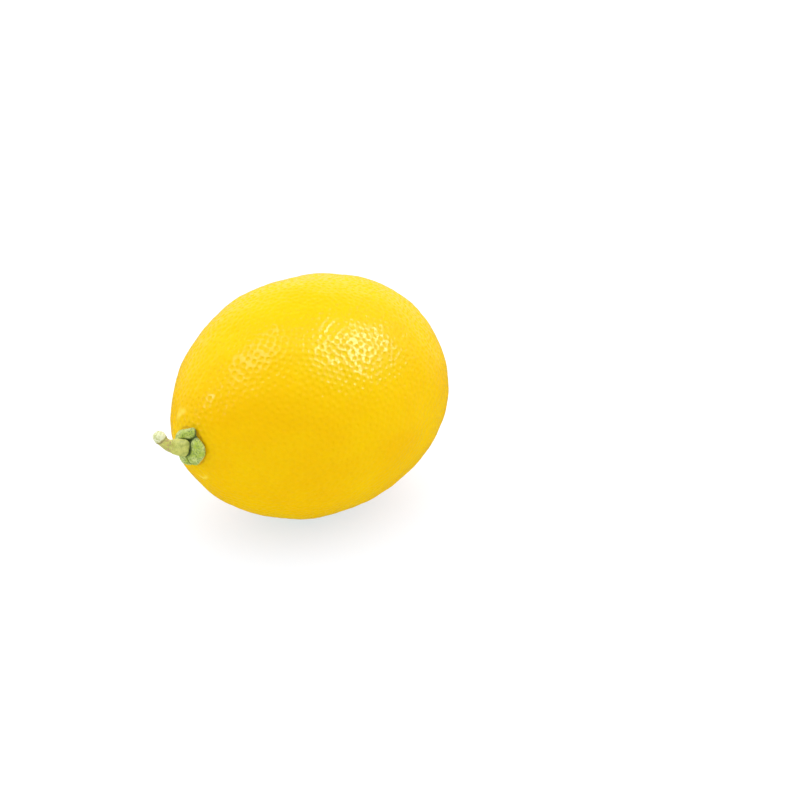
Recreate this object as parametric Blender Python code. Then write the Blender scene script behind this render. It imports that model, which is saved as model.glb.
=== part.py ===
"""A lemon as picked, lying on its side: the fruit, its calyx and a short, bent, cut stem.

Frame: metres, +Z up. The fruit's long axis runs along X, with the stem end at -X. The origin is in the
small flat spot that the fruit rests on, straight below the middle of its widest ring.
"""

import math

import bmesh
import bpy
import numpy as np

# Fruit
FRUIT_WIDTH = 0.0600  # across the widest ring
STEM_HALF = 0.0378  # widest ring to the stem end of the body, before the neck
BLOSSOM_HALF = 0.0364  # widest ring to the blossom end of the body, before the nipple
STEM_FULLNESS = 1.84  # 2 is an ellipse, and less is more pointed
BLOSSOM_FULLNESS = 2.9  # 2 is an ellipse, and more is blunter
WAIST_BLEND = 0.0150  # each side of the widest ring, where one half's shape turns into the other's
NECK_HEIGHT = 0.0012
NECK_WIDTH = 0.0180
FOLD_COUNT = 7  # faint ribs that run off the neck
FOLD_DEPTH = 0.0003
FOLD_RADIUS = 0.0120  # distance of the ribs' highest place from the long axis
FOLD_SPREAD = 0.0120  # how far along the skin they run
NIPPLE_HEIGHT = 0.0068
NIPPLE_WIDTH = 0.0150
NIPPLE_SQUARENESS = 2.5  # 2 is a bell, and more is a steeper knob
NIPPLE_LEAN = 0.0012  # how far its tip stands above the long axis
SPOT_WIDTH = 0.0100  # the flat spot, across the fruit

# Calyx: fleshy lobes, fused round a pit for the stem
CALYX_WIDTH = 0.0096
CALYX_THICKNESS = 0.0021
CALYX_FLOOR = 0.0009  # thickness under the pit
CALYX_NOTCH = 0.0005  # how far the outline steps in at a crease
CALYX_CREASE = 0.0009  # how far the top dips at a crease
CREASE_ANGLES = (8, 120, 250, 318)  # degrees about the long axis, from +Y towards +Z
LOBE_SQUARENESS = 2.5  # 2 is a round section, and more is a boxy one
PIT_RISE = 0.0004  # the pit's centre above the long axis
PIT_LIP = 0.12  # share of a lobe's section that the pit cuts away
PIT_DRAFT = 0.0001  # how much nearer the pit's wall comes to the stem at its floor

# Stem: a swollen foot in the pit, a thinner middle that bends upwards, and a domed cut end
STEM_FOOT_WIDTH = 0.0031
STEM_KNOB_WIDTH = 0.0037
STEM_MIDDLE_WIDTH = 0.0026
STEM_END_WIDTH = 0.0030
STEM_DOME = 0.0007  # how far the cut end bulges
STEM_ROUTE = (  # places from the middle of the pit's mouth, each with the stem's width there
    (-0.0010, 0.0001, 0.0005, STEM_KNOB_WIDTH),
    (-0.0027, 0.0004, 0.0012, STEM_MIDDLE_WIDTH),
    (-0.0046, 0.0009, 0.0025, STEM_MIDDLE_WIDTH),
    (-0.0059, 0.0015, 0.0043, STEM_END_WIDTH),
)

SEAT_GAP = 0.0003  # clearance between pieces that touch

# Fineness of the meshes
FRUIT_SEGMENTS = 56
FRUIT_RINGS = 40
CALYX_SEGMENTS = 60
CALYX_RINGS = 7
STEM_SIDES = 20
STEM_STEPS = 4  # rings between two points of the route
DOME_RINGS = 3
FINE_STEPS = 800  # samples of a curve before it is divided evenly
SHARP_ANGLE = math.radians(50)  # edges that fold more than this aren't shaded smooth

AXIS_HEIGHT = math.sqrt((FRUIT_WIDTH / 2) ** 2 - (SPOT_WIDTH / 2) ** 2)
PIT_RADIUS = STEM_FOOT_WIDTH / 2 + SEAT_GAP


def clear_scene():
    for item in list(bpy.data.objects):
        bpy.data.objects.remove(item)


def material(name, colour, roughness):
    made = bpy.data.materials.new(name)
    made.use_nodes = True
    shader = made.node_tree.nodes["Principled BSDF"]
    shader.inputs["Base Color"].default_value = (*colour, 1.0)
    shader.inputs["Roughness"].default_value = roughness
    shader.inputs["Metallic"].default_value = 0.0
    return made


def add_object(name, shape, finish):
    """Puts a finished bmesh into the scene as a smooth object with one material."""
    bmesh.ops.recalc_face_normals(shape, faces=shape.faces)
    mesh = bpy.data.meshes.new(name)
    shape.to_mesh(mesh)
    shape.free()
    mesh.materials.append(finish)
    mesh.shade_smooth()
    mesh.set_sharp_from_angle(angle=SHARP_ANGLE)
    piece = bpy.data.objects.new(name, mesh)
    bpy.context.scene.collection.objects.link(piece)
    return piece


def smooth_step(share):
    share = np.clip(share, 0.0, 1.0)
    return share * share * (3.0 - 2.0 * share)


def bell(distance, width, squareness=2.0):
    """1 on the axis, and near 0 once distance passes half the width."""
    return np.exp(-((np.abs(distance) / (width / 2)) ** squareness))


def skin(shape, rings):
    """Bridges equal rings of points with quads, and returns the rings' vertices."""
    loops = [[shape.verts.new(point) for point in ring] for ring in rings]
    for one, two in zip(loops, loops[1:]):
        for i in range(len(one)):
            j = (i + 1) % len(one)
            shape.faces.new((one[i], one[j], two[j], two[i]))
    return loops


def fan(shape, loop, point):
    """Closes a loop with triangles round one point."""
    tip = shape.verts.new(point)
    for i in range(len(loop)):
        shape.faces.new((loop[i], loop[(i + 1) % len(loop)], tip))


# ---- fruit ----
def fruit_profile(steps):
    """Places along the axis and radii, evenly spaced from the stem pole to the nipple's tip."""
    x = -np.cos(np.linspace(0.0, math.pi, FINE_STEPS))
    x = np.where(x < 0.0, x * STEM_HALF, x * BLOSSOM_HALF)
    share = smooth_step((x + WAIST_BLEND) / (2 * WAIST_BLEND))
    half = STEM_HALF + (BLOSSOM_HALF - STEM_HALF) * share
    fullness = STEM_FULLNESS + (BLOSSOM_FULLNESS - STEM_FULLNESS) * share
    radius = FRUIT_WIDTH / 2 * np.clip(1.0 - (x / half) ** 2, 0.0, 1.0) ** (1.0 / fullness)
    neck = NECK_HEIGHT * bell(radius, NECK_WIDTH)
    nipple = NIPPLE_HEIGHT * bell(radius, NIPPLE_WIDTH, NIPPLE_SQUARENESS)
    x = x + np.where(x < 0.0, -neck, nipple)
    length = np.concatenate(([0.0], np.cumsum(np.hypot(np.diff(x), np.diff(radius)))))
    even = np.linspace(0.0, length[-1], steps)
    return np.interp(even, length, x), np.interp(even, length, radius)


def fruit_end(distance):
    """Place along the axis of the fruit's stem end, at a distance from that axis."""
    x, radius = fruit_profile(FINE_STEPS)
    stem_side = x < 0.0
    return np.interp(distance, radius[stem_side], x[stem_side])


def fruit_point(x, radius, angle):
    """The point of the skin at an angle about the axis, with the neck's ribs and the nipple's lean."""
    near_neck = bell(radius - FOLD_RADIUS, FOLD_SPREAD) if x < 0.0 else 0.0
    radius = radius + FOLD_DEPTH * near_neck * math.cos(FOLD_COUNT * angle)
    lean = NIPPLE_LEAN * smooth_step((x - BLOSSOM_HALF) / NIPPLE_HEIGHT)
    return (x, radius * math.cos(angle), AXIS_HEIGHT + radius * math.sin(angle) + lean)


def make_fruit():
    xs, radii = fruit_profile(FRUIT_RINGS)
    angles = [2 * math.pi * i / FRUIT_SEGMENTS for i in range(FRUIT_SEGMENTS)]
    shape = bmesh.new()
    rings = [[fruit_point(x, r, a) for a in angles] for x, r in zip(xs[1:-1], radii[1:-1])]
    loops = skin(shape, rings)
    fan(shape, loops[0], fruit_point(xs[0], 0.0, 0.0))
    fan(shape, loops[-1], fruit_point(xs[-1], 0.0, 0.0))
    cut = bmesh.ops.bisect_plane(
        shape,
        geom=shape.verts[:] + shape.edges[:] + shape.faces[:],
        plane_co=(0.0, 0.0, 0.0),
        plane_no=(0.0, 0.0, 1.0),
        clear_inner=True,
    )
    rim = [item for item in cut["geom_cut"] if isinstance(item, bmesh.types.BMEdge)]
    bmesh.ops.contextual_create(shape, geom=rim)
    return add_object("fruit", shape, material("rind", (0.94, 0.61, 0.01), 0.35))


# ---- calyx ----
def lobe_puff(angle):
    """0 at a crease between two lobes and 1 over most of a lobe."""
    turned = (math.degrees(angle) - CREASE_ANGLES[0]) % 360 + CREASE_ANGLES[0]
    ends = CREASE_ANGLES[1:] + (CREASE_ANGLES[0] + 360,)
    start, end = next(pair for pair in zip(CREASE_ANGLES, ends) if turned < pair[1])
    across = 2 * (turned - start) / (end - start) - 1
    return math.sqrt(1 - across**4)


def calyx_crown(share):
    """Rise of a lobe across its width, from the pit's wall (share 0) to the rim (share 1)."""
    across = 2 * (PIT_LIP + (1 - PIT_LIP) * share) - 1
    return math.sqrt(1 - abs(across) ** LOBE_SQUARENESS)


def calyx_ring(widths, rise, thicknesses):
    """Points round the calyx, at these heights over its underside, which follows the fruit."""
    turns = 2 * math.pi * np.arange(CALYX_SEGMENTS) / CALYX_SEGMENTS
    y = widths * np.cos(turns)
    z = widths * np.sin(turns) + rise
    x = fruit_end(np.hypot(y, z)) - SEAT_GAP - thicknesses
    return np.column_stack((x, y, z + AXIS_HEIGHT))


def make_calyx():
    turns = 2 * math.pi * np.arange(CALYX_SEGMENTS) / CALYX_SEGMENTS
    dips = 1 - np.array([lobe_puff(turn) for turn in turns])
    rim = CALYX_WIDTH / 2 - CALYX_NOTCH * dips
    upper = [calyx_ring(PIT_RADIUS - PIT_DRAFT, PIT_RISE, CALYX_FLOOR)]
    lower = []
    for share in np.linspace(0.0, 1.0, CALYX_RINGS + 1):
        widths = PIT_RADIUS + (rim - PIT_RADIUS) * share
        rise = PIT_RISE * (1 - share)
        upper.append(calyx_ring(widths, rise, calyx_crown(share) * (CALYX_THICKNESS - CALYX_CREASE * dips)))
        if share < 1:
            lower.insert(0, calyx_ring(widths, rise, 0.0))
    shape = bmesh.new()
    loops = skin(shape, upper + lower)
    pole = float(fruit_end(PIT_RISE)) - SEAT_GAP
    fan(shape, loops[0], (pole - CALYX_FLOOR, 0.0, AXIS_HEIGHT + PIT_RISE))
    fan(shape, loops[-1], (pole, 0.0, AXIS_HEIGHT + PIT_RISE))
    return add_object("calyx", shape, material("calyx_green", (0.30, 0.42, 0.14), 0.6))


# ---- stem ----
def stem_line():
    """Places and widths along the stem, on a smooth curve out of the pit and through its route."""
    underside = float(fruit_end(PIT_RISE)) - SEAT_GAP
    height = AXIS_HEIGHT + PIT_RISE
    foot = np.array((underside - CALYX_FLOOR - SEAT_GAP, 0.0, height, STEM_FOOT_WIDTH))
    mouth = np.array((underside - CALYX_THICKNESS, 0.0, height, STEM_FOOT_WIDTH))
    rows = np.vstack((foot, mouth, STEM_ROUTE + mouth * (1, 1, 1, 0)))
    rows = np.vstack((2 * rows[0] - rows[1], rows, 2 * rows[-1] - rows[-2]))
    line = []
    for a, b, c, d in zip(rows, rows[1:], rows[2:], rows[3:]):
        for t in np.arange(STEM_STEPS) / STEM_STEPS:
            bend = (2 * a - 5 * b + 4 * c - d) * t**2 + (3 * b - a - 3 * c + d) * t**3
            line.append(b + ((c - a) * t + bend) / 2)
    line.append(rows[-2])
    return np.array(line)


def stem_ring(centre, along, radius):
    """A ring of points round the stem, square to its direction."""
    side = np.cross(along, (0.0, 1.0, 0.0))
    side /= np.linalg.norm(side)
    other = np.cross(along, side)
    turns = [2 * math.pi * i / STEM_SIDES for i in range(STEM_SIDES)]
    return [centre + radius * (math.cos(t) * side + math.sin(t) * other) for t in turns]


def make_stem():
    line = stem_line()
    places, radii = line[:, :3], line[:, 3] / 2
    ways = np.gradient(places, axis=0)
    ways[0] = (-1.0, 0.0, 0.0)  # the foot's face lies flat on the pit's floor
    ways /= np.linalg.norm(ways, axis=1)[:, None]
    rings = [stem_ring(place, way, radius) for place, way, radius in zip(places, ways, radii)]
    for turn in math.pi / 2 * np.arange(1, DOME_RINGS) / DOME_RINGS:
        place = places[-1] + STEM_DOME * math.sin(turn) * ways[-1]
        rings.append(stem_ring(place, ways[-1], radii[-1] * math.cos(turn)))
    shape = bmesh.new()
    loops = skin(shape, rings)
    fan(shape, loops[0], places[0])
    fan(shape, loops[-1], places[-1] + STEM_DOME * ways[-1])
    return add_object("stem", shape, material("stem_green", (0.52, 0.56, 0.22), 0.6))


clear_scene()
make_fruit()
make_calyx()
make_stem()
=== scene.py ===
import math

import bpy
import numpy as np
from bpy.props import FloatProperty, FloatVectorProperty, IntProperty, PointerProperty
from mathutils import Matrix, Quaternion, Vector, noise


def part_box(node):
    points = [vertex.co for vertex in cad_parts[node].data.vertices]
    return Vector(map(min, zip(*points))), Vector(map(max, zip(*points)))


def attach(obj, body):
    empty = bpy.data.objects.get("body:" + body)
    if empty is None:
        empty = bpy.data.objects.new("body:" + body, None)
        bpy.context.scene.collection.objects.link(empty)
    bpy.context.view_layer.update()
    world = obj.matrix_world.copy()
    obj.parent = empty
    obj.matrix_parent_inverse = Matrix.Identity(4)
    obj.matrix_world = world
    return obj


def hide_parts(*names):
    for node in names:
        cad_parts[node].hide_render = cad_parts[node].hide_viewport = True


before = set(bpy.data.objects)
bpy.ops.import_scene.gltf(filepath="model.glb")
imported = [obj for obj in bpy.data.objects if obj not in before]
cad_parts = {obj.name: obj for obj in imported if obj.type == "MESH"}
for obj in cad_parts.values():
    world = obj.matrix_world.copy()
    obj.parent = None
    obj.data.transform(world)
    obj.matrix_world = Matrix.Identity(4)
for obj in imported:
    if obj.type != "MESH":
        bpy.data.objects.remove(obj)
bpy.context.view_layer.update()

bl_info = {
    "name": "Lemon",
    "version": (1, 0, 0),
    "blender": (4, 5, 0),
    "location": "View3D > Sidebar > Lemon",
    "description": "A ripe lemon with pored rind, fleshy calyx and a short cut stem, and its studio",
    "category": "Object",
}

# Frame: metres, +Z up. The fruit lies along X with its stem end at -X, and rests on Z = 0.
MM = 0.001
FRUIT_LOW, FRUIT_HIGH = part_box("fruit")
CALYX_LOW, CALYX_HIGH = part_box("calyx")
STEM_LOW, STEM_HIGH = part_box("stem")
FRUIT_RADIUS = (FRUIT_HIGH.y - FRUIT_LOW.y) / 2
AXIS_HEIGHT = FRUIT_HIGH.z - FRUIT_RADIUS
SEAT_GAP = 0.3 * MM  # between the fruit and the calyx, and under the stem's foot
BODY = "root"


# ---------------------------------------------------------------------------------------------------
# Node writing
# ---------------------------------------------------------------------------------------------------
class Wire:
    """A value on its way through a node tree, so that a formula reads as a formula."""

    def __init__(self, tree, socket):
        self.tree = tree
        self.socket = socket

    def __add__(self, other):
        return reckon(self.tree, "ADD", self, other)

    def __radd__(self, other):
        return reckon(self.tree, "ADD", other, self)

    def __sub__(self, other):
        return reckon(self.tree, "SUBTRACT", self, other)

    def __rsub__(self, other):
        return reckon(self.tree, "SUBTRACT", other, self)

    def __mul__(self, other):
        return reckon(self.tree, "MULTIPLY", self, other)

    def __rmul__(self, other):
        return reckon(self.tree, "MULTIPLY", other, self)

    def __truediv__(self, other):
        return reckon(self.tree, "DIVIDE", self, other)

    def __pow__(self, other):
        return reckon(self.tree, "POWER", self, other)


def feed(tree, value, socket):
    if isinstance(value, Wire):
        tree.links.new(value.socket, socket)
    else:
        socket.default_value = value


def node(tree, kind, feeds=None, **settings):
    made = tree.nodes.new(kind)
    for name, value in settings.items():
        setattr(made, name, value)
    for name, value in (feeds or {}).items():
        feed(tree, value, made.inputs[name])
    return made


def reckon(tree, operation, *values):
    made = node(tree, "ShaderNodeMath", dict(enumerate(values)), operation=operation)
    return Wire(tree, made.outputs[0])


def root(value):
    return reckon(value.tree, "SQRT", reckon(value.tree, "MAXIMUM", value, 0.0))


def hypot(one, two):
    return root(one * one + two * two)


def bell(value, width, squareness=2.0):
    """1 where value is 0, about a third at half the width, and near 0 beyond it."""
    share = reckon(value.tree, "ABSOLUTE", value) / (width / 2)
    return reckon(value.tree, "EXPONENT", (share**squareness) * -1.0)


def ease(value, low, high, start=0.0, end=1.0):
    """Runs smoothly from start to end while value runs from low to high."""
    made = node(
        value.tree,
        "ShaderNodeMapRange",
        {"Value": value, "From Min": low, "From Max": high, "To Min": start, "To Max": end},
        interpolation_type="SMOOTHSTEP",
    )
    return Wire(value.tree, made.outputs["Result"])


def ease_line(value, low, high):
    """0 below low, 1 above high, straight between."""
    made = node(value.tree, "ShaderNodeMapRange", {"Value": value, "From Min": low, "From Max": high})
    return Wire(value.tree, made.outputs["Result"])


def blend(factor, one, two):
    """one where factor is 0, two where it is 1."""
    made = node(factor.tree, "ShaderNodeMix", {0: factor, 2: one, 3: two}, data_type="FLOAT")
    return Wire(factor.tree, made.outputs[0])


def blend_colour(factor, one, two):
    made = node(factor.tree, "ShaderNodeMix", {0: factor, 6: one, 7: two}, data_type="RGBA")
    return Wire(factor.tree, made.outputs[2])


def parts_of(vector):
    made = node(vector.tree, "ShaderNodeSeparateXYZ", {0: vector})
    return tuple(Wire(vector.tree, made.outputs[i]) for i in range(3))


def vector_of(tree, x, y, z):
    made = node(tree, "ShaderNodeCombineXYZ", {0: x, 1: y, 2: z})
    return Wire(tree, made.outputs[0])


def vector_work(operation, one, other=None, scale=None):
    feeds = {0: one}
    if other is not None:
        feeds[1] = other
    if scale is not None:
        feeds["Scale"] = scale
    made = node(one.tree, "ShaderNodeVectorMath", feeds, operation=operation)
    single = operation in ("LENGTH", "DISTANCE", "DOT_PRODUCT")
    return Wire(one.tree, made.outputs["Value" if single else "Vector"])


def grain(place, size, detail=2.0, roughness=0.5):
    """Soft noise from 0 to 1 whose lumps are about size metres across."""
    feeds = {"Vector": place, "Scale": 1.0 / size, "Detail": detail, "Roughness": roughness}
    made = node(place.tree, "ShaderNodeTexNoise", feeds)
    return Wire(place.tree, made.outputs[0])


def cells(place, size):
    """Distance to the nearest of many scattered points about size metres apart, 0 to about 1."""
    made = node(place.tree, "ShaderNodeTexVoronoi", {"Vector": place, "Scale": 1.0 / size})
    return Wire(place.tree, made.outputs["Distance"])


class Workshop:
    """A Geometry Nodes tree with named inputs, and the mesh that it makes."""

    def __init__(self, name):
        self.name = name
        self.tree = bpy.data.node_groups.new(name, "GeometryNodeTree")
        self.tree.interface.new_socket("Geometry", in_out="INPUT", socket_type="NodeSocketGeometry")
        self.tree.interface.new_socket("Geometry", in_out="OUTPUT", socket_type="NodeSocketGeometry")
        self.entry = self.tree.nodes.new("NodeGroupInput")
        self.exit = self.tree.nodes.new("NodeGroupOutput")
        self.values = {}

    def start(self):
        return Wire(self.tree, self.entry.outputs["Geometry"])

    def ask(self, name, value, kind="Float"):
        """Adds a named input, and returns the wire that carries it."""
        socket = self.tree.interface.new_socket(name, in_out="INPUT", socket_type="NodeSocket" + kind)
        self.values[socket.identifier] = value
        return Wire(self.tree, self.entry.outputs[name])

    def field(self, kind, output=0):
        return Wire(self.tree, node(self.tree, kind).outputs[output])

    def place(self):
        return self.field("GeometryNodeInputPosition")

    def push(self, geometry, amount):
        """Moves every point along its normal."""
        offset = vector_work("SCALE", self.field("GeometryNodeInputNormal"), scale=amount)
        made = node(self.tree, "GeometryNodeSetPosition", {"Geometry": geometry, "Offset": offset})
        return Wire(self.tree, made.outputs[0])

    def put(self, geometry, position):
        made = node(self.tree, "GeometryNodeSetPosition", {"Geometry": geometry, "Position": position})
        return Wire(self.tree, made.outputs[0])

    def keep(self, geometry, name, value, kind="FLOAT"):
        """Stores a value on every point, for the material to read."""
        feeds = {"Geometry": geometry, "Name": name, "Value": value}
        made = node(self.tree, "GeometryNodeStoreNamedAttribute", feeds, data_type=kind, domain="POINT")
        return Wire(self.tree, made.outputs[0])

    def recall(self, name):
        """The value that is stored on every point under this name."""
        made = node(self.tree, "GeometryNodeInputNamedAttribute", {"Name": name}, data_type="FLOAT")
        return Wire(self.tree, made.outputs[0])

    def sample(self, points, value, index, kind="FLOAT"):
        """The value at the point of that number in other geometry."""
        feeds = {"Geometry": points, "Value": value, "Index": index}
        made = node(self.tree, "GeometryNodeSampleIndex", feeds, data_type=kind)
        return Wire(self.tree, made.outputs["Value"])

    def finish(self, geometry, finish):
        smooth = node(self.tree, "GeometryNodeSetShadeSmooth", {"Geometry": geometry})
        real = node(self.tree, "GeometryNodeRealizeInstances", {0: Wire(self.tree, smooth.outputs[0])})
        material = self.ask("Material", finish, "Material")
        feeds = {"Geometry": Wire(self.tree, real.outputs[0]), "Material": material}
        made = node(self.tree, "GeometryNodeSetMaterial", feeds)
        self.tree.links.new(made.outputs[0], self.exit.inputs["Geometry"])

    def make(self, name, source):
        """Runs the tree on a source object, and returns a new object with the plain mesh."""
        modifier = source.modifiers.new(self.name, "NODES")
        modifier.node_group = self.tree
        for identifier, value in self.values.items():
            modifier[identifier] = value
        graph = bpy.context.evaluated_depsgraph_get()
        mesh = bpy.data.meshes.new_from_object(source.evaluated_get(graph), depsgraph=graph)
        source.modifiers.remove(modifier)
        bpy.data.objects.remove(source)
        if not mesh.polygons:
            raise RuntimeError(f"{self.name} made no faces")
        mesh.name = name
        return show(name, mesh)


def show(name, mesh):
    piece = bpy.data.objects.new(name, mesh)
    bpy.context.scene.collection.objects.link(piece)
    return piece


def hand_in(piece, node_name):
    """The piece stands for its CAD node, on the one body."""
    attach(piece, BODY)
    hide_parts(node_name)


# ---------------------------------------------------------------------------------------------------
# Sizes and colours
# ---------------------------------------------------------------------------------------------------
def length(name, description, millimetres):
    return FloatProperty(name=name, description=description, default=millimetres * MM, unit="LENGTH",
                         precision=5)


def colour(name, description, value):
    return FloatVectorProperty(name=name, description=description, default=value, subtype="COLOR", size=3,
                               min=0.0, max=1.0)


def number(name, description, value):
    return FloatProperty(name=name, description=description, default=value)


class LemonFruitSettings(bpy.types.PropertyGroup):
    fineness: IntProperty(name="Fineness", description="Points along each side of the skin's grid",
                          default=128)
    neck_height: length("Neck height", "How far the stem end is drawn out", 1.2)
    neck_width: length("Neck width", "Width of the drawn-out stem end", 18.0)
    nipple_height: length("Nipple height", "How far the blossom end is drawn out", 6.8)
    nipple_width: length("Nipple width", "Width where a third of the nipple's height is left", 15.0)
    nipple_lean: length("Nipple lean", "How far the nipple's tip stands above the long axis", 1.2)
    stem_fullness: number("Stem fullness", "2 is an ellipse, and less is more pointed", 1.84)
    blossom_fullness: number("Blossom fullness", "2 is an ellipse, and more is blunter", 2.9)
    swell: length("Swell", "Height of the skin's slow waves", 1.5)
    dimpling: length("Dimpling", "Height of the skin's small waves", 0.50)
    rib_height: length("Rib height", "Height of the folds that run off the neck", 0.9)
    pore_spacing: length("Pore spacing", "Least distance between two oil glands", 1.46)
    pore_width: length("Pore width", "Width of a middling pore", 1.66)
    pore_depth: length("Pore depth", "Depth of a middling pore", 0.065)
    seed: IntProperty(name="Seed", description="Which scatter of pores is used", default=7)
    rind: colour("Rind", "Main colour of the peel", (0.95, 0.595, 0.001))
    # used for the riper patches, and also for the painted shade along the folds off the neck
    rind_warm_and_fold_shade: colour("Warm rind", "Colour of the riper patches", (0.93, 0.54, 0.001))
    # painted light: a lighter yellow laid high on the fruit, as if lit from above
    painted_top_light: colour("Top tint", "Lemon yellow high on the fruit", (0.95, 0.67, 0.001))
    # painted highlight: the glints on the collar's swelling round the calyx
    collar_painted_glint: colour("Collar", "Pale arcs on the swelling round the calyx", (1.0, 0.78, 0.10))
    rind_rim: colour("Rim", "Orange brown edge against the calyx", (0.55, 0.22, 0.03))
    rind_pore: colour("Pore", "Colour down in the pores", (0.84, 0.45, 0.001))
    rind_green: colour("Green tinge", "Colour of the rind next to the calyx", (0.62, 0.55, 0.02))
    scar: colour("Scar", "Colour of the dry scar on the nipple", (0.25, 0.15, 0.045))


class LemonCalyxSettings(bpy.types.PropertyGroup):
    thickness: length("Thickness", "Height of a lobe over the rind", 2.1)
    pit_rise: length("Pit rise", "How far the pit's middle lies above the long axis", 0.4)
    pit_radius: length("Pit radius", "Radius of the pit that holds the stem", 1.85)
    floor: length("Floor", "Thickness of the calyx under its pit", 0.9)
    green: colour("Green", "Main colour of the lobes", (0.47, 0.60, 0.05))
    bloom: colour("Bloom", "Dusty pale green on the lobes' tops", (0.66, 0.74, 0.24))
    cloud: colour("Cloud", "Darker green patches", (0.30, 0.42, 0.08))
    # painted shade: laid into the creases, the pit, round the stem's knob and at the lobes' outer foot
    crease: colour("Crease", "Dark olive between the lobes", (0.07, 0.12, 0.008))
    speck: colour("Speck", "Dark green dots", (0.09, 0.21, 0.015))


class LemonStemSettings(bpy.types.PropertyGroup):
    foot_width: length("Foot width", "Width where the stem sits in the calyx", 3.1)
    knob_width: length("Knob width", "Width of the swelling over the calyx", 3.8)
    middle_width: length("Middle width", "Width of the thinnest stretch", 2.45)
    end_width: length("End width", "Width of the cut end", 3.0)
    green: colour("Green", "Yellow green of the bark", (0.59, 0.60, 0.13))
    # painted shade: darker olive laid in the hollows between the bark's ridges
    shade: colour("Shade", "Olive in the hollows of the bark", (0.40, 0.45, 0.09))
    pale: colour("Pale", "Pale streaks of the bark", (0.68, 0.71, 0.19))
    pit: colour("Pit", "Dark green dots", (0.26, 0.33, 0.05))
    ring: colour("Ring", "Dark ring behind the cut end", (0.24, 0.19, 0.06))
    blush: colour("Blush", "Brownish pink flecks", (0.50, 0.30, 0.17))
    cut: colour("Cut", "Cream of the cut end", (0.82, 0.84, 0.54))
    core: colour("Core", "Green grain in the cut end", (0.52, 0.56, 0.16))


class LemonStageSettings(bpy.types.PropertyGroup):
    azimuth: FloatProperty(name="Azimuth", description="Camera's place round the lemon", subtype="ANGLE",
                           default=math.radians(-43.4))
    elevation: FloatProperty(name="Elevation", description="Camera's height over the horizon",
                             subtype="ANGLE", default=math.radians(26.2))
    distance: length("Distance", "Camera to the middle of the fruit", 450.0)
    lens: FloatProperty(name="Lens", description="Focal length in millimetres", default=80.26)
    aside: FloatProperty(name="Aside", description="How far the camera looks to the right of the fruit",
                         subtype="ANGLE", default=math.radians(2.95))
    below: FloatProperty(name="Below", description="How far the camera looks below the fruit's middle",
                         subtype="ANGLE", default=math.radians(0.09))
    dome: number("Dome light", "Strength of the even light from all round", 0.735)
    sky: number("Sky light", "How much stronger the light is from above and behind", 1.0)
    floor: colour("Floor", "Colour of the floor", (0.59, 0.48, 0.377))
    glow: colour("Floor glow", "Light that the floor gives off, as a light table does", (0.385, 0.556, 0.72))


# ---------------------------------------------------------------------------------------------------
# Materials
# ---------------------------------------------------------------------------------------------------
def new_finish(name):
    finish = bpy.data.materials.new(name)
    finish.use_nodes = True
    tree = finish.node_tree
    return finish, tree, tree.nodes["Principled BSDF"]


def solid(rgb):
    return (*rgb, 1.0)


def own_place(tree):
    return Wire(tree, tree.nodes.new("ShaderNodeTexCoord").outputs["Object"])


def stored(tree, name, output="Fac"):
    made = node(tree, "ShaderNodeAttribute", attribute_name=name)
    return Wire(tree, made.outputs[output])


def relief(tree, shader, height, depth):
    made = node(tree, "ShaderNodeBump", {"Strength": 1.0, "Distance": depth, "Height": height})
    tree.links.new(made.outputs[0], shader.inputs["Normal"])
    if shader.inputs["Coat Weight"].is_linked:
        tree.links.new(made.outputs[0], shader.inputs["Coat Normal"])


PAINTED_TOP_LIGHT = (36 * MM, 56 * MM)  # heights between which the painted top light, a lighter yellow, comes in
GLOSS_RISE = (6 * MM, 26 * MM)  # heights between which the gloss comes in
GLOSS_RANGE = (0.02, 0.25)  # gloss below and above those heights
COLLAR_RADIUS = 8.6 * MM  # of the low broken swelling round the calyx
RIM_RADIUS = 4.75 * MM  # where the rind meets the calyx


def collar_ring(place, from_axis):
    """How far off the wandering collar a place lies, and 1 on the stretches where the collar shows."""
    path = from_axis + (grain(place, 7 * MM, 1.0) - 0.5) * (5 * MM)
    return path - COLLAR_RADIUS, ease(grain(place, 5 * MM, 0.0), 0.42, 0.62)


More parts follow.
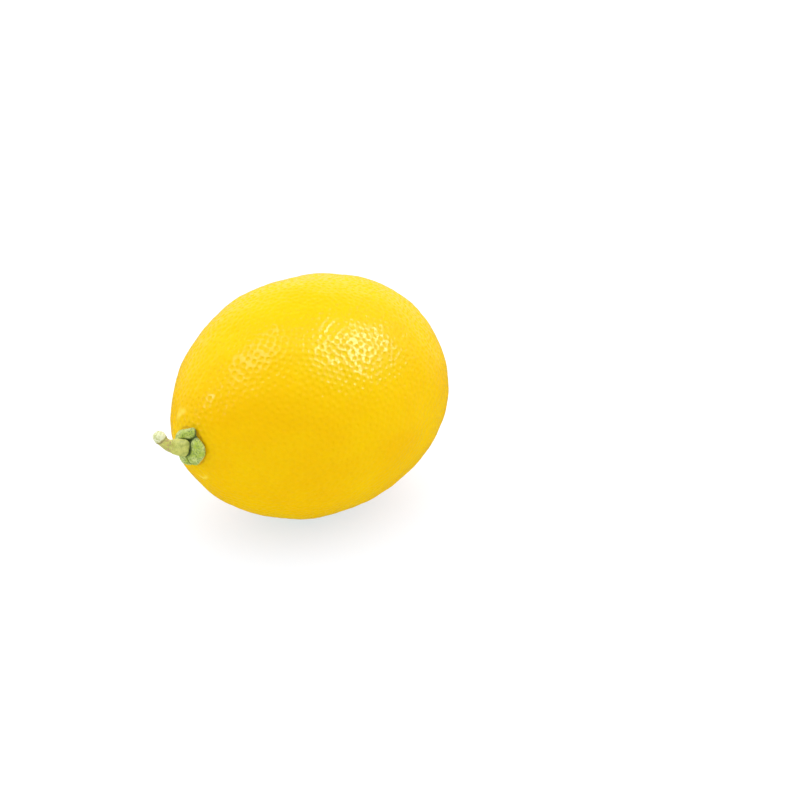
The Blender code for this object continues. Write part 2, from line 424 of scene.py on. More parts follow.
def rind_finish(settings):
    """Waxy yellow peel: pored, a little warmer in patches, green by the calyx and scarred at the tip, with
    painted top light, painted glints on the collar and painted shade along the folds off the neck.
    """
    finish, tree, shader = new_finish("waxy_rind")
    place = own_place(tree)
    x, y, z = parts_of(place)
    from_axis = hypot(y, z - AXIS_HEIGHT)

    near = stored(tree, "gland_distance")
    exact = vector_work("LENGTH", stored(tree, "gland_offset", "Vector"))
    away = blend(ease(near, 0.30 * MM, 0.42 * MM), exact, near)
    reach = stored(tree, "gland_reach")
    pore = 1.0 - ease(away, reach * 0.25, reach)

    patches = ease(grain(place, 16 * MM, 3.0), 0.35, 0.7)
    skin = blend_colour(patches, solid(settings.rind), solid(settings.rind_warm_and_fold_shade))
    mottle = ease(grain(place, 2.2 * MM, 3.0, 0.6), 0.3, 0.75)
    skin = blend_colour(mottle * 0.25, skin, solid(settings.rind_warm_and_fold_shade))
    skin = blend_colour(pore * 0.06, skin, solid(settings.rind_pore))
    # painted light: the top of the rind made lighter yellow by height
    skin = blend_colour(ease(z, *PAINTED_TOP_LIGHT) * 0.45, skin, solid(settings.painted_top_light))

    stem_side = ease(x, 0.0, FRUIT_LOW.x / 2)
    ragged = from_axis + (grain(place, 3 * MM, 3.0) - 0.5) * (3.5 * MM)
    tinge = stem_side * ease(ragged, 9.5 * MM, 4.5 * MM)
    skin = blend_colour(tinge * 0.10, skin, solid(settings.rind_green))
    # painted shade: darker orange streaks off the neck, standing in for the shade of its folds
    around = vector_of(tree, y / from_axis, (z - AXIS_HEIGHT) / from_axis, from_axis * 25.0)
    painted_fold_shade = ease(grain(vector_work("SCALE", around, scale=4.0), 1.0, 2.0), 0.45, 0.75)
    painted_fold_shade = painted_fold_shade * stem_side * bell(from_axis - 8 * MM, 12 * MM)
    skin = blend_colour(painted_fold_shade * 0.55, skin, solid(settings.rind_warm_and_fold_shade))
    # painted highlight: pale arcs laid on the collar's swelling as its glints
    off_collar, stretches = collar_ring(place, from_axis)
    collar = bell(off_collar, 0.9 * MM) * stem_side * stretches
    skin = blend_colour(collar * 0.65, skin, solid(settings.collar_painted_glint))
    off_rim = from_axis - RIM_RADIUS + (grain(place, 1.2 * MM) - 0.5) * (0.7 * MM)
    skin = blend_colour(stem_side * bell(off_rim, 0.45 * MM) * 0.45, skin, solid(settings.rind_rim))

    blossom_side = ease(x, 0.0, FRUIT_HIGH.x / 2)
    tip_blush = blossom_side * ease(ragged, 6.0 * MM, 2.0 * MM)
    skin = blend_colour(tip_blush * 0.35, skin, solid(settings.rind_green))
    scar_edge = from_axis + (grain(place, 0.8 * MM, 3.0) - 0.5) * (1.2 * MM)
    tip = ease(x, FRUIT_HIGH.x - 2.2 * MM, FRUIT_HIGH.x - 0.9 * MM)
    skin = blend_colour(tip * ease(scar_edge, 1.5 * MM, 0.7 * MM) * 0.9, skin, solid(settings.scar))

    tree.links.new(skin.socket, shader.inputs["Base Color"])
    rough = blend(mottle, 0.26, 0.36) + pore * 0.40
    tree.links.new(rough.socket, shader.inputs["Roughness"])
    shader.inputs["Specular IOR Level"].default_value = 0.02
    shader.inputs["Subsurface Weight"].default_value = 0.12
    shader.inputs["Subsurface Radius"].default_value = (1.0, 0.55, 0.06)
    shader.inputs["Subsurface Scale"].default_value = 1.2 * MM
    gloss = (1.0 - pore * 0.95) * ease(z, *GLOSS_RISE, *GLOSS_RANGE)
    tree.links.new(gloss.socket, shader.inputs["Coat Weight"])
    shader.inputs["Coat Roughness"].default_value = 0.11
    fine = grain(place, 0.30 * MM, 2.0)
    small = grain(place, 1.1 * MM, 2.0)
    height = pore * -1.0 + fine * 0.05 + small * 0.65
    relief(tree, shader, height, 0.085 * MM)
    return finish


def calyx_finish(settings):
    """Dusty green flesh with dark specks, and painted shade in its creases, its pit, round the stem's knob
    and at its outer foot.
    """
    finish, tree, shader = new_finish("calyx_flesh")
    place = own_place(tree)
    painted_shade = stored(tree, "painted_shade")
    bloom = ease(grain(place, 1.6 * MM, 3.0, 0.6), 0.38, 0.66)
    skin = blend_colour(bloom, solid(settings.green), solid(settings.bloom))
    cloud = ease(grain(place, 0.55 * MM, 3.0, 0.6), 0.42, 0.72)
    skin = blend_colour(cloud * 0.9, skin, solid(settings.cloud))
    cluster = ease(grain(place, 1.1 * MM, 3.0, 0.7), 0.38, 0.54)
    dots = (1.0 - ease(cells(place, 0.48 * MM), 0.14, 0.44)) * cluster
    skin = blend_colour(dots * 0.8, skin, solid(settings.speck))
    sown = ease(grain(place, 0.8 * MM, 2.0), 0.35, 0.6)
    fine_dots = (1.0 - ease(cells(place, 0.30 * MM), 0.15, 0.45)) * sown
    skin = blend_colour(fine_dots * 0.75, skin, solid(settings.speck))
    # painted shade: the crease colour laid wherever the painted-shade value is high
    skin = blend_colour(ease(painted_shade, 0.25, 0.95), skin, solid(settings.crease))
    tree.links.new(skin.socket, shader.inputs["Base Color"])
    rough = blend(cloud, 0.55, 0.68)
    tree.links.new(rough.socket, shader.inputs["Roughness"])
    shader.inputs["Specular IOR Level"].default_value = 0.35
    shader.inputs["Sheen Weight"].default_value = 0.15
    shader.inputs["Sheen Roughness"].default_value = 0.5
    height = grain(place, 0.35 * MM, 3.0) * 0.8 - dots * 0.5 - fine_dots * 0.25
    relief(tree, shader, height, 0.14 * MM)
    return finish


CUT_RING = 0.80  # share of the way along the stem where its cut end begins


def stem_finish(settings):
    """Yellow-green bark with pink-brown flecks and painted shade in its hollows, and a cream cut end behind
    a dark ring.
    """
    finish, tree, shader = new_finish("stem_bark")
    place = own_place(tree)
    along = stored(tree, "along")
    ridge = stored(tree, "ridge")
    wander = (grain(place, 0.8 * MM, 2.0) - 0.5) * 0.10
    # painted shade: the shade colour where the ridge noise is low, in the bark's hollows
    skin = blend_colour(ease(ridge, 0.30, 0.6), solid(settings.shade), solid(settings.green))
    pale = ease(grain(place, 0.7 * MM, 3.0), 0.42, 0.62)
    skin = blend_colour(pale * 0.5, skin, solid(settings.pale))
    flecks = ease(grain(place, 0.50 * MM, 3.0, 0.65), 0.50, 0.60)
    skin = blend_colour(flecks * 0.9 * ease(along, 0.38, 0.55), skin, solid(settings.blush))
    dots = 1.0 - ease(cells(place, 0.50 * MM), 0.10, 0.36)
    skin = blend_colour(dots * 0.4, skin, solid(settings.pit))
    ring = bell(along - CUT_RING + wander * 0.5, 0.05)
    skin = blend_colour(ring * 0.75, skin, solid(settings.ring))
    end = ease(along + wander * 0.6, CUT_RING, CUT_RING + 0.06)
    core = ease(grain(place, 0.5 * MM, 2.0), 0.4, 0.7)
    cream = blend_colour(core, solid(settings.cut), solid(settings.core))
    skin = blend_colour(end, skin, cream)
    tree.links.new(skin.socket, shader.inputs["Base Color"])
    rough = blend(pale, 0.58, 0.70)
    tree.links.new(rough.socket, shader.inputs["Roughness"])
    shader.inputs["Specular IOR Level"].default_value = 0.3
    height = grain(place, 0.28 * MM, 3.0) * 0.7 - dots * 0.35
    relief(tree, shader, height, 0.08 * MM)
    return finish


def floor_finish(settings):
    finish, _, shader = new_finish("pale_floor")
    shader.inputs["Base Color"].default_value = solid(settings.floor)
    shader.inputs["Roughness"].default_value = 0.9
    shader.inputs["Specular IOR Level"].default_value = 0.0
    shader.inputs["Emission Color"].default_value = solid(settings.glow)
    shader.inputs["Emission Strength"].default_value = 1.0
    return finish


# ---------------------------------------------------------------------------------------------------
# Fruit
# ---------------------------------------------------------------------------------------------------
WAIST_BLEND = 0.375  # radians of latitude, each side of the widest ring
NIPPLE_SQUARENESS = 2.5
GLAND_DENSITY = 6.0 / MM**2  # tries per square metre, before those too close together go
LEAST_PORE, MOST_PORE = 0.80, 1.15  # a pore's size beside a middling one


def grow_body(shop, settings):
    """A closed grid, rounded to a ball and drawn out to the smooth body of the fruit."""
    tree = shop.tree
    count = shop.ask("Fineness", settings.fineness, "Int")
    radius = shop.ask("Radius", FRUIT_RADIUS)
    stem_half = shop.ask("Stem Half", -FRUIT_LOW.x - settings.neck_height)
    blossom_half = shop.ask("Blossom Half", FRUIT_HIGH.x - settings.nipple_height)
    stem_fullness = shop.ask("Stem Fullness", settings.stem_fullness)
    blossom_fullness = shop.ask("Blossom Fullness", settings.blossom_fullness)
    neck_height = shop.ask("Neck Height", settings.neck_height)
    neck_width = shop.ask("Neck Width", settings.neck_width)
    nipple_height = shop.ask("Nipple Height", settings.nipple_height)
    nipple_width = shop.ask("Nipple Width", settings.nipple_width)
    nipple_lean = shop.ask("Nipple Lean", settings.nipple_lean)
    axis_height = shop.ask("Axis Height", AXIS_HEIGHT)

    feeds = {"Size": (2.0, 2.0, 2.0), "Vertices X": count, "Vertices Y": count, "Vertices Z": count}
    box = Wire(tree, node(tree, "GeometryNodeMeshCube", feeds).outputs["Mesh"])
    spread = [reckon(tree, "TANGENT", part * (math.pi / 4)) for part in parts_of(shop.place())]
    way_x, way_y, way_z = parts_of(vector_work("NORMALIZE", vector_of(tree, *spread)))
    out = hypot(way_y, way_z)
    latitude = reckon(tree, "ARCTAN2", way_x, out)

    share = ease(latitude, -WAIST_BLEND, WAIST_BLEND)
    half = blend(share, stem_half, blossom_half)
    fullness = blend(share, stem_fullness, blossom_fullness)
    from_axis = out * radius
    reach = half * root(1.0 - out**fullness) * reckon(tree, "SIGN", way_x)
    neck = neck_height * bell(from_axis, neck_width)
    nipple = nipple_height * bell(from_axis, nipple_width, NIPPLE_SQUARENESS)
    blossom = reckon(tree, "GREATER_THAN", way_x, 0.0)
    x = reach + blend(blossom, neck * -1.0, nipple)
    lean = nipple_lean * ease(x - blossom_half, 0.0, nipple_height)
    place = vector_of(tree, x, way_y * radius, way_z * radius + axis_height + lean)
    return shop.put(box, place), axis_height


def wrinkle_skin(shop, settings, body, axis_height):
    """Slow swells all over, folds off the neck, and creases round the nipple and its scar."""
    tree = shop.tree
    swell = shop.ask("Swell", settings.swell)
    dimpling = shop.ask("Dimpling", settings.dimpling)
    rib_height = shop.ask("Rib Height", settings.rib_height)
    place = shop.place()
    x, y, z = parts_of(place)
    height = z - axis_height
    from_axis = hypot(y, height)
    stem_side = ease(x, 0.0, -12 * MM)
    blossom_side = ease(x, 0.0, 12 * MM)
    clear = 1.0 - stem_side * ease(from_axis, 10 * MM, 5.5 * MM)

    waves = (grain(place, 17 * MM, 1.0) - 0.5) * swell
    dimples = (grain(place, 5.5 * MM, 2.0) - 0.5) * dimpling
    ripples = (grain(place, 2.6 * MM, 1.0) - 0.5) * (dimpling * 0.30)
    around = vector_of(tree, y / from_axis, height / from_axis, from_axis * 30.0)
    ribs = (grain(vector_work("SCALE", around, scale=1.5), 1.0, 1.0) - 0.5) * rib_height
    ribs = ribs * bell(from_axis - 10 * MM, 12 * MM) * stem_side
    creases = (grain(vector_work("SCALE", around, scale=5.0), 1.0, 1.0) - 0.5) * (rib_height * 0.45)
    creases = creases * bell(from_axis - 7.2 * MM, 5 * MM) * stem_side
    off_collar, stretches = collar_ring(place, from_axis)
    shoulder = bell(off_collar, 2.2 * MM) * stem_side * (0.24 * MM) * stretches
    folds = (grain(vector_work("SCALE", around, scale=2.2), 1.0, 2.0) - 0.5) * (0.9 * MM)
    folds = folds * bell(from_axis - 5.5 * MM, 7 * MM) * blossom_side
    furrow = bell(from_axis - 9.5 * MM, 4 * MM) * blossom_side * (-0.30 * MM)
    dent = bell(from_axis, 2.6 * MM) * blossom_side * (-0.55 * MM)
    wrinkled = (waves + dimples + ripples) * clear + ribs + creases + shoulder + folds + furrow + dent
    return shop.push(body, wrinkled)


def open_pores(shop, settings, skin):
    """Scatters oil glands evenly over the skin, and sinks a pore at each of them."""
    tree = shop.tree
    spacing = shop.ask("Pore Spacing", settings.pore_spacing)
    width = shop.ask("Pore Width", settings.pore_width)
    depth = shop.ask("Pore Depth", settings.pore_depth)
    seed = shop.ask("Seed", settings.seed, "Int")
    feeds = {"Mesh": skin, "Distance Min": spacing, "Density Max": GLAND_DENSITY, "Seed": seed}
    scatter = node(tree, "GeometryNodeDistributePointsOnFaces", feeds, distribute_method="POISSON")
    glands = Wire(tree, scatter.outputs["Points"])

    place = shop.place()
    nearest = node(tree, "GeometryNodeSampleNearest", {"Geometry": glands, "Sample Position": place})
    index = Wire(tree, nearest.outputs["Index"])
    centre = shop.sample(glands, place, index, "FLOAT_VECTOR")
    chance = node(tree, "FunctionNodeRandomValue", {2: LEAST_PORE, 3: MOST_PORE}, data_type="FLOAT")
    size = shop.sample(glands, Wire(tree, chance.outputs[1]), index)

    offset = vector_work("SUBTRACT", place, centre)
    away = vector_work("LENGTH", offset)
    reach = width * 0.5 * size
    pore = (1.0 - ease(away, 0.0, reach)) * depth * size
    skin = shop.keep(skin, "gland_offset", offset, "FLOAT_VECTOR")
    skin = shop.keep(skin, "gland_distance", away)
    skin = shop.keep(skin, "gland_reach", reach)
    return shop.push(skin, pore * -1.0)


def set_down(shop, skin):
    """Flattens the small spot that the fruit rests on."""
    x, y, z = parts_of(shop.place())
    pressed = reckon(shop.tree, "SMOOTH_MAX", z, 0.0, 0.3 * MM)
    return shop.put(skin, vector_of(shop.tree, x, y, pressed))


class LEMON_OT_fruit(bpy.types.Operator):
    """Grows the fruit: one closed skin with waves, folds and pores"""

    bl_idname = "lemon.fruit"
    bl_label = "Fruit"

    def execute(self, context):
        settings = context.scene.lemon_fruit
        shop = Workshop("Lemon Skin")
        body, axis_height = grow_body(shop, settings)
        skin = wrinkle_skin(shop, settings, body, axis_height)
        skin = open_pores(shop, settings, skin)
        shop.finish(set_down(shop, skin), rind_finish(settings))
        fruit = shop.make("lemon_fruit", show("fruit_seed", bpy.data.meshes.new("fruit_seed")))
        hand_in(fruit, "fruit")
        return {"FINISHED"}


# ---------------------------------------------------------------------------------------------------
# Calyx
# ---------------------------------------------------------------------------------------------------
CREASE_ANGLES = (8, 126, 250, 318)  # degrees about the long axis, from +Y towards +Z
CALYX_TURNS = 300  # points round each ring
RINGS_OVER = 46  # from the pit's floor over the lobe to its outer foot
RINGS_UNDER = 10
LOBE_START, LOBE_STOP = math.radians(222), math.radians(-38)
LOBE_SQUARENESS = 0.85  # 1 is an ellipse, and less is squarer
LOBE_SINK = 0.12 * MM  # how far a lobe's outline is lowered, so that its foot meets the underside
PIT_SHADE, UNDER_SHADE = 1.0, 0.6  # painted shade of the pit's floor and of the underside
KNOB_ASIDE, KNOB_ABOVE = 0.75 * MM, 0.90 * MM  # the stem's knob, off the long axis
KNOB_SHADE, KNOB_SHADE_EDGE = 2.75 * MM, 0.7 * MM  # outer radius and soft edge of the painted shadow round it


def fruit_end(settings, distance):
    """Place along X of the smooth stem end, at a distance from the long axis."""
    half = -FRUIT_LOW.x - settings.neck_height
    share = np.asarray(distance) / FRUIT_RADIUS
    neck = settings.neck_height * np.exp(-((distance / (settings.neck_width / 2)) ** 2))
    return -half * np.sqrt(1.0 - share**settings.stem_fullness) - neck


def crease_gap(turn):
    """Angle in radians to the nearest crease."""
    return min(abs((turn - math.radians(a) + math.pi) % (2 * math.pi) - math.pi) for a in CREASE_ANGLES)


def spread(turn, degrees, width):
    """1 at an angle given in degrees, and about a third at width degrees from it."""
    gap = (turn - math.radians(degrees) + math.pi) % (2 * math.pi) - math.pi
    return math.exp(-((gap / math.radians(width)) ** 2))


def calyx_rim(turn, lump, groove, round_off):
    """Radius of the calyx at an angle: wider at two lobes, narrower at one, drawn in at the creases."""
    rim = (CALYX_HIGH.z - CALYX_LOW.z) / 2 * (1.0 + 0.05 * lump)
    rim += (1.05 * spread(turn, 168, 32) + 1.2 * spread(turn, 108, 13) - 0.5 * spread(turn, 40, 32)) * MM
    rim -= 0.22 * MM * round_off + 0.28 * MM * groove
    return rim


def calyx_painted_shade(share, turn, groove, y, z):
    """How much shade is painted at a point: in a crease, in the pit, round the stem's knob and at the outer
    foot.
    """
    inner = min(1.0, max(0.0, (0.40 - share) / 0.20))
    from_knob = math.hypot(y + KNOB_ASIDE, z - KNOB_ABOVE)
    inner = max(inner, min(1.0, (KNOB_SHADE - from_knob) / KNOB_SHADE_EDGE))
    foot = max(0.0, share - 0.72) / 0.28
    foot *= 0.45 + 0.55 * spread(turn, 112, 14)
    return min(1.0, groove * 0.95 + inner * 0.9 + foot)


def squared(value):
    return math.copysign(abs(value) ** LOBE_SQUARENESS, value)


def grow_calyx(fruit, settings):
    """Rounded lobes, fused in a ring round the stem's pit, and the painted shade of each of their points."""
    rings = []
    painted_shades = []
    for i in range(RINGS_OVER + 1):
        share = i / RINGS_OVER
        angle = LOBE_START + (LOBE_STOP - LOBE_START) * share
        ring = []
        for j in range(CALYX_TURNS):
            turn = 2 * math.pi * j / CALYX_TURNS
            side = Vector((math.cos(turn), math.sin(turn), 0.0))
            lump = noise.noise(side * 1.7 + Vector((3.1, 0.2, 0.0)))
            far = crease_gap(turn) * 3.3 * MM
            groove = math.exp(-((far / (0.42 * MM)) ** 1.3))
            round_off = math.exp(-((far / (1.3 * MM)) ** 2))
            rim = calyx_rim(turn, lump, groove, round_off)
            middle = (rim + settings.pit_radius) / 2
            wide = (rim - settings.pit_radius) / 2
            tall = settings.thickness / 2 * (1.0 + 0.16 * lump) * (1.0 - 0.20 * round_off - 0.34 * groove)
            away = middle + wide * squared(math.cos(angle))
            high = tall * (1.0 + squared(math.sin(angle))) - LOBE_SINK
            rise = settings.pit_rise * (1.0 - (away - settings.pit_radius) / (2 * wide))
            y = away * math.cos(turn)
            z = away * math.sin(turn) + rise
            x = float(fruit_end(fruit, math.hypot(y, z))) - SEAT_GAP - max(high, 0.0)
            ring.append(Vector((x, y, z + AXIS_HEIGHT)))
            painted_shades.append(calyx_painted_shade(share, turn, groove, y, z))
        rings.append(ring)
    return rings, painted_shades


def pit_floor(inner, centre, floor_x):
    """Rings across the floor of the pit, from near its middle out to the lobes."""
    rings = []
    for k in (1, 2, 3, 4):
        share = k / 5
        rings.append([Vector((floor_x, *(centre.yz + (p.yz - centre.yz) * share))) for p in inner])
    return rings


def calyx_underside(fruit, outer, centre):
    """Rings from the lobes' foot in to the middle, a seat gap off the rind."""
    rings = []
    for k in range(RINGS_UNDER - 1, 0, -1):
        share = k / RINGS_UNDER
        ring = []
        for p in outer:
            yz = centre.yz + (p.yz - centre.yz) * share
            x = float(fruit_end(fruit, math.hypot(yz.x, yz.y - AXIS_HEIGHT))) - SEAT_GAP
            ring.append(Vector((x, yz.x, yz.y)))
        rings.append(ring)
    return rings


def mesh_of_rings(name, rings, first, last):
    """A closed mesh: quads between the rings, and a fan at each end."""
    count = len(rings[0])
    points = [p for ring in rings for p in ring] + [first, last]
    faces = []
    for k in range(len(rings) - 1):
        for j in range(count):
            a = k * count + j
            b = k * count + (j + 1) % count
            faces.append((a, b, b + count, a + count))
    foot, head = len(points) - 2, len(points) - 1
    top = (len(rings) - 1) * count
    for j in range(count):
        faces.append((foot, (j + 1) % count, j))
        faces.append((head, top + j, top + (j + 1) % count))
    mesh = bpy.data.meshes.new(name)
    mesh.from_pydata(points, [], faces)
    mesh.validate()
    return mesh


class LEMON_OT_calyx(bpy.types.Operator):
    """Grows the green calyx on the stem end"""

    bl_idname = "lemon.calyx"
    bl_label = "Calyx"

    def execute(self, context):
        fruit = context.scene.lemon_fruit
        settings = context.scene.lemon_calyx
        rings, painted_shades = grow_calyx(fruit, settings)
        centre = Vector((0.0, 0.0, AXIS_HEIGHT + settings.pit_rise))
        back_x = float(fruit_end(fruit, settings.pit_rise)) - SEAT_GAP
        floor_x = back_x - settings.floor
        floors = pit_floor(rings[0], centre, floor_x)
        below = calyx_underside(fruit, rings[-1], centre)
        first = Vector((floor_x, 0.0, centre.z))
        last = Vector((back_x, 0.0, centre.z))
        mesh = mesh_of_rings("calyx_seed", floors + rings + below, first, last)
        # painted shade of every point, stored on the mesh for the material
        depth = [PIT_SHADE] * (len(floors) * CALYX_TURNS) + painted_shades
        depth += [UNDER_SHADE] * (len(below) * CALYX_TURNS) + [PIT_SHADE, UNDER_SHADE]
        mesh.attributes.new("painted_shade", "FLOAT", "POINT").data.foreach_set("value", depth)
        shop = Workshop("Calyx Flesh")
        lumps = shop.ask("Lump Height", 0.42 * MM)
        place = shop.place()
        free = 1.0 - ease(shop.recall("painted_shade"), 0.3, 0.6)
        rough = (grain(place, 1.5 * MM, 2.0) - 0.5) * lumps
        rough = rough + (grain(place, 0.45 * MM, 2.0) - 0.5) * (lumps * 0.35)
        shop.finish(shop.push(shop.start(), rough * free), calyx_finish(settings))
        calyx = shop.make("lemon_calyx", show("calyx_seed", mesh))
        face_outwards(calyx.data)
        hand_in(calyx, "calyx")
        return {"FINISHED"}


def face_outwards(mesh):
    """Turns every face outwards, told by the sign of the mesh's volume."""
    mesh.calc_loop_triangles()
    volume = 0.0
    for triangle in mesh.loop_triangles:
        a, b, c = (mesh.vertices[i].co for i in triangle.vertices)
        volume += a.dot(b.cross(c))
    if volume < 0:
        mesh.flip_normals()


# ---------------------------------------------------------------------------------------------------
# Stem
# ---------------------------------------------------------------------------------------------------
ROUTE_STEPS = 8  # points of the smooth line for each step of the route


def stem_route(fruit, calyx, settings):
    """Places and radii along the stem: out of the pit, over the swelling, and up to the cut end."""
    underside = float(fruit_end(fruit, calyx.pit_rise)) - SEAT_GAP
    height = AXIS_HEIGHT + calyx.pit_rise
    foot = Vector((underside - calyx.floor - SEAT_GAP, 0.0, height))
    mouth = Vector((underside - calyx.thickness, 0.0, height))
    steps = (
        ((0.10, 0.0, 0.0), settings.foot_width),
        ((-0.25, -0.60, 0.60), settings.knob_width * 0.95),
        ((-0.75, -0.75, 0.96), settings.knob_width * 1.02),
        ((-1.9, -0.35, 1.34), settings.knob_width * 0.96),
        ((-3.0, 0.35, 1.75), settings.middle_width * 1.04),
        ((-4.4, 0.75, 3.1), settings.middle_width),
        ((-5.4, 1.3, 4.75), settings.end_width),
        ((-5.75, 1.55, 5.75), settings.end_width),
    )
    route = [(foot, settings.foot_width / 2)]
    route += [(mouth + Vector(step) * MM, width / 2) for step, width in steps]
    return route


class LEMON_OT_stem(bpy.types.Operator):
    """Grows the short stem along its bent route, with ridges and a cut end"""

    bl_idname = "lemon.stem"
    bl_label = "Stem"

    def execute(self, context):
        settings = context.scene.lemon_stem
        route = stem_route(context.scene.lemon_fruit, context.scene.lemon_calyx, settings)
        line = draw_line("stem_seed", smooth_route(route, ROUTE_STEPS))
        shop = Workshop("Stem Bark")
        bark = roughen_bark(shop, sweep_bark(shop))
        shop.finish(bark, stem_finish(settings))
        stem = shop.make("lemon_stem", show("stem_seed", line))
        face_outwards(stem.data)
        hand_in(stem, "stem")
        return {"FINISHED"}


def draw_line(name, points):
    """A curve through points of (place, radius)."""
    line = bpy.data.curves.new(name, "CURVE")
    line.dimensions = "3D"
    spline = line.splines.new("POLY")
    spline.points.add(len(points) - 1)
    for point, (place, radius) in zip(spline.points, points):
        point.co = (*place, 1.0)
        point.radius = radius
    return line


def sweep_bark(shop):
    """Sweeps a circle along the line: narrowed at the foot, knotted near the cut, and rounded off."""
    tree = shop.tree
    sides = shop.ask("Sides", 96, "Int")
    pitch = shop.ask("Pitch", 0.07 * MM)
    fine = node(tree, "GeometryNodeResampleCurve", {"Curve": shop.start(), "Length": pitch}, mode="LENGTH")
    along = shop.field("GeometryNodeSplineParameter", "Factor")
    thread = shop.keep(Wire(tree, fine.outputs[0]), "along", along)
    into_end = ease_line(along, 0.88, 1.0)
    rounded = root(1.0 - into_end * into_end * 0.9) ** 0.9
    seat = blend(ease_line(along, 0.0, 0.03), 0.82, 1.0)
    knot = 1.0 + bell(along - CUT_RING, 0.10) * 0.05 - bell(along - 0.70, 0.12) * 0.04
    radius = shop.field("GeometryNodeInputRadius") * rounded * seat * knot
    thread = node(tree, "GeometryNodeSetCurveRadius", {"Curve": thread, "Radius": radius})
    ring = node(tree, "GeometryNodeCurvePrimitiveCircle", {"Resolution": sides, "Radius": 1.0})
    ring = shop.keep(Wire(tree, ring.outputs["Curve"]), "turn", along)
    feeds = {"Curve": Wire(tree, thread.outputs[0]), "Profile Curve": ring, "Fill Caps": True}
    bark = node(tree, "GeometryNodeCurveToMesh", feeds)
    if "Scale" in bark.inputs:
        feed(tree, shop.field("GeometryNodeInputRadius"), bark.inputs["Scale"])
    return Wire(tree, bark.outputs[0])


def roughen_bark(shop, bark):
    """Long ridges and soft lumps all over, and four blunt corners on the lower half."""
    ridge_height = shop.ask("Ridge Height", 0.20 * MM)
    boxiness = shop.ask("Boxiness", 0.42 * MM)
    place = shop.place()
    ridge = grain(vector_work("MULTIPLY", place, (0.45, 1.0, 0.7)), 1.0 * MM, 2.0)
    lumps = (ridge - 0.5) * ridge_height + (grain(place, 1.8 * MM, 1.0) - 0.5) * (ridge_height * 1.5)
    along = shop.recall("along")
    corner = (1.0 - reckon(shop.tree, "COSINE", shop.recall("turn") * (8 * math.pi))) * 0.5
    lumps = lumps + corner * boxiness * ease(along, 0.9, 0.45)
    bark = shop.keep(bark, "ridge", ridge)
    return shop.push(bark, lumps * ease(along, 0.06, 0.16))


def smooth_route(route, steps):
    """More points along a smooth curve through a route of (place, radius)."""
    rows = [Vector((*place, radius)) for place, radius in route]
    rows = [2 * rows[0] - rows[1], *rows, 2 * rows[-1] - rows[-2]]
    line = []
    for a, b, c, d in zip(rows, rows[1:], rows[2:], rows[3:]):
        for i in range(steps):
            t = i / steps
            bend = (2 * a - 5 * b + 4 * c - d) * t**2 + (3 * b - a - 3 * c + d) * t**3
            line.append(b + ((c - a) * t + bend) / 2)
    line.append(rows[-2])
    return [(row.xyz, row.w) for row in line]


# ---------------------------------------------------------------------------------------------------
# Stage
# ---------------------------------------------------------------------------------------------------
def camera_axes(settings):
    """Right, up and backwards, as the camera sees them."""
    a, e = settings.azimuth, settings.elevation
    back = Vector((math.sin(a) * math.cos(e), -math.cos(a) * math.cos(e), math.sin(e)))
    right = Vector((math.cos(a), math.sin(a), 0.0))
    return right, back.cross(right), back


def add_camera(settings, centre):
    right, up, back = camera_axes(settings)
    lens = bpy.data.cameras.new("camera")
    lens.lens = settings.lens
    lens.sensor_width = 36.0
    camera = show("camera", lens)
    camera.location = centre + back * settings.distance
    camera.rotation_mode = "QUATERNION"
    aside = Quaternion((0.0, 1.0, 0.0), -settings.aside)
    below = Quaternion((1.0, 0.0, 0.0), -settings.below)
    camera.rotation_quaternion = (-back).to_track_quat("-Z", "Y") @ aside @ below
    bpy.context.scene.camera = camera


def add_softbox(name, settings, centre, way, distance, size, glow):
    """A lamp seen only in the gloss, way being its direction as (right, up, towards the camera)."""
    right, up, back = camera_axes(settings)
    direction = (right * way[0] + up * way[1] + back * way[2]).normalized()
    lamp = bpy.data.lights.new(name, "AREA")
    lamp.shape = "ELLIPSE"
    lamp.size, lamp.size_y = size
    lamp.energy = glow * math.pi * size[0] * size[1]
    box = show(name, lamp)
    box.location = centre + direction * distance
    box.rotation_mode = "QUATERNION"
    box.rotation_quaternion = (-direction).to_track_quat("-Z", "Y")
    box.visible_diffuse = False


def light_room(settings):
    """Even light, stronger from above and behind, and a gloss that is bright only behind the fruit."""
    back = camera_axes(settings)[2]
    world = bpy.data.worlds.new("studio")
    world.use_nodes = True
    world.cycles.sampling_method = "NONE"
    tree = world.node_tree
    way = Wire(tree, tree.nodes.new("ShaderNodeTexCoord").outputs["Generated"])
    ray = tree.nodes.new("ShaderNodeLightPath")
    behind = Vector((-back.x, -back.y, 0.0)).normalized()
    above = (behind * 0.45 + Vector((0.0, 0.0, 0.9))).normalized()
    light = settings.dome + settings.sky * vector_work("DOT_PRODUCT", way, tuple(above))
    height = parts_of(way)[2]
    low = ease(height, 0.8, 0.35) * ease(height, -0.40, 0.10, 0.12, 1.0)
    gloss = ease(vector_work("DOT_PRODUCT", way, tuple(behind)), 0.0, 0.9, 0.02, 1.1) * low
    light = blend(Wire(tree, ray.outputs["Is Glossy Ray"]), light, gloss)
    light = blend(Wire(tree, ray.outputs["Is Camera Ray"]), light, 1.0)
    background = tree.nodes["Background"]
    background.inputs["Color"].default_value = (1.0, 1.0, 1.0, 1.0)
    tree.links.new(light.socket, background.inputs["Strength"])
    return world


FLOOR_HALF = 6.0  # metres from the floor's middle to each side
SOFTBOXES = (  # name, direction as (right, up, towards the camera), distance, size, strength
    ("key", (0.655, 0.675, 0.34), 0.55, (0.28, 0.43), 19.0),
    ("fill", (-0.40, 0.78, 0.48), 0.60, (0.36, 0.46), 5.5),
    ("side", (-0.91, 0.25, 0.32), 0.60, (0.12, 0.16), 12.0),
)


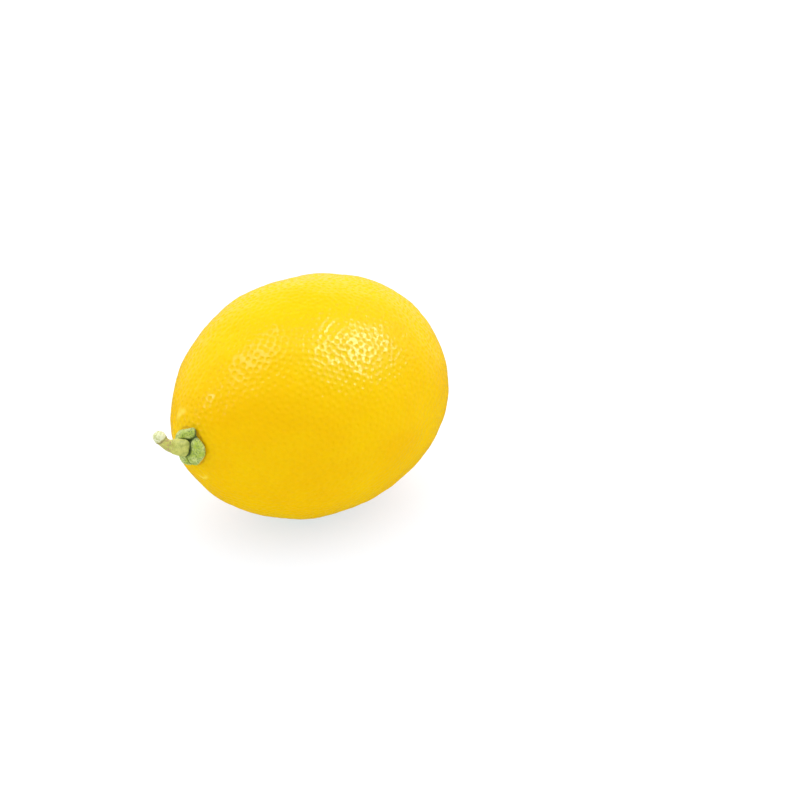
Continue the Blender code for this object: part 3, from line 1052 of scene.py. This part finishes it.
class LEMON_OT_stage(bpy.types.Operator):
    """Sets the floor, the soft lights and the camera"""

    bl_idname = "lemon.stage"
    bl_label = "Stage"

    def execute(self, context):
        settings = context.scene.lemon_stage
        centre = Vector((0.0, 0.0, AXIS_HEIGHT))
        mesh = bpy.data.meshes.new("floor")
        corners = [(x * FLOOR_HALF, y * FLOOR_HALF, 0.0) for x, y in ((-1, -1), (1, -1), (1, 1), (-1, 1))]
        mesh.from_pydata(corners, [], [(0, 1, 2, 3)])
        mesh.materials.append(floor_finish(settings))
        floor = show("floor", mesh)
        floor.visible_glossy = False
        for name, way, distance, size, glow in SOFTBOXES:
            add_softbox(name, settings, centre, way, distance, size, glow)
        context.scene.world = light_room(settings)
        context.scene.view_settings.view_transform = "Standard"
        add_camera(settings, centre)
        return {"FINISHED"}


class LEMON_PT_panel(bpy.types.Panel):
    """Lists the lemon's pieces and its stage"""

    bl_label = "Lemon"
    bl_idname = "LEMON_PT_panel"
    bl_space_type = "VIEW_3D"
    bl_region_type = "UI"
    bl_category = "Lemon"

    def draw(self, context):
        for operator, settings in PIECES:
            box = self.layout.box()
            box.operator(operator)
            owner = getattr(context.scene, settings)
            for name in owner.bl_rna.properties.keys():
                if name not in ("rna_type", "name"):
                    box.prop(owner, name)


PIECES = (
    ("lemon.fruit", "lemon_fruit"),
    ("lemon.calyx", "lemon_calyx"),
    ("lemon.stem", "lemon_stem"),
    ("lemon.stage", "lemon_stage"),
)
SETTINGS = {
    "lemon_fruit": LemonFruitSettings,
    "lemon_calyx": LemonCalyxSettings,
    "lemon_stem": LemonStemSettings,
    "lemon_stage": LemonStageSettings,
}
CLASSES = (*SETTINGS.values(), LEMON_OT_fruit, LEMON_OT_calyx, LEMON_OT_stem, LEMON_OT_stage, LEMON_PT_panel)


def register():
    for made in CLASSES:
        bpy.utils.register_class(made)
    for name, group in SETTINGS.items():
        setattr(bpy.types.Scene, name, PointerProperty(type=group))


def unregister():
    for name in SETTINGS:
        delattr(bpy.types.Scene, name)
    for made in reversed(CLASSES):
        bpy.utils.unregister_class(made)


def main():
    register()
    bpy.ops.lemon.fruit()
    bpy.ops.lemon.calyx()
    bpy.ops.lemon.stem()
    bpy.ops.lemon.stage()


if __name__ == "__main__":
    main()
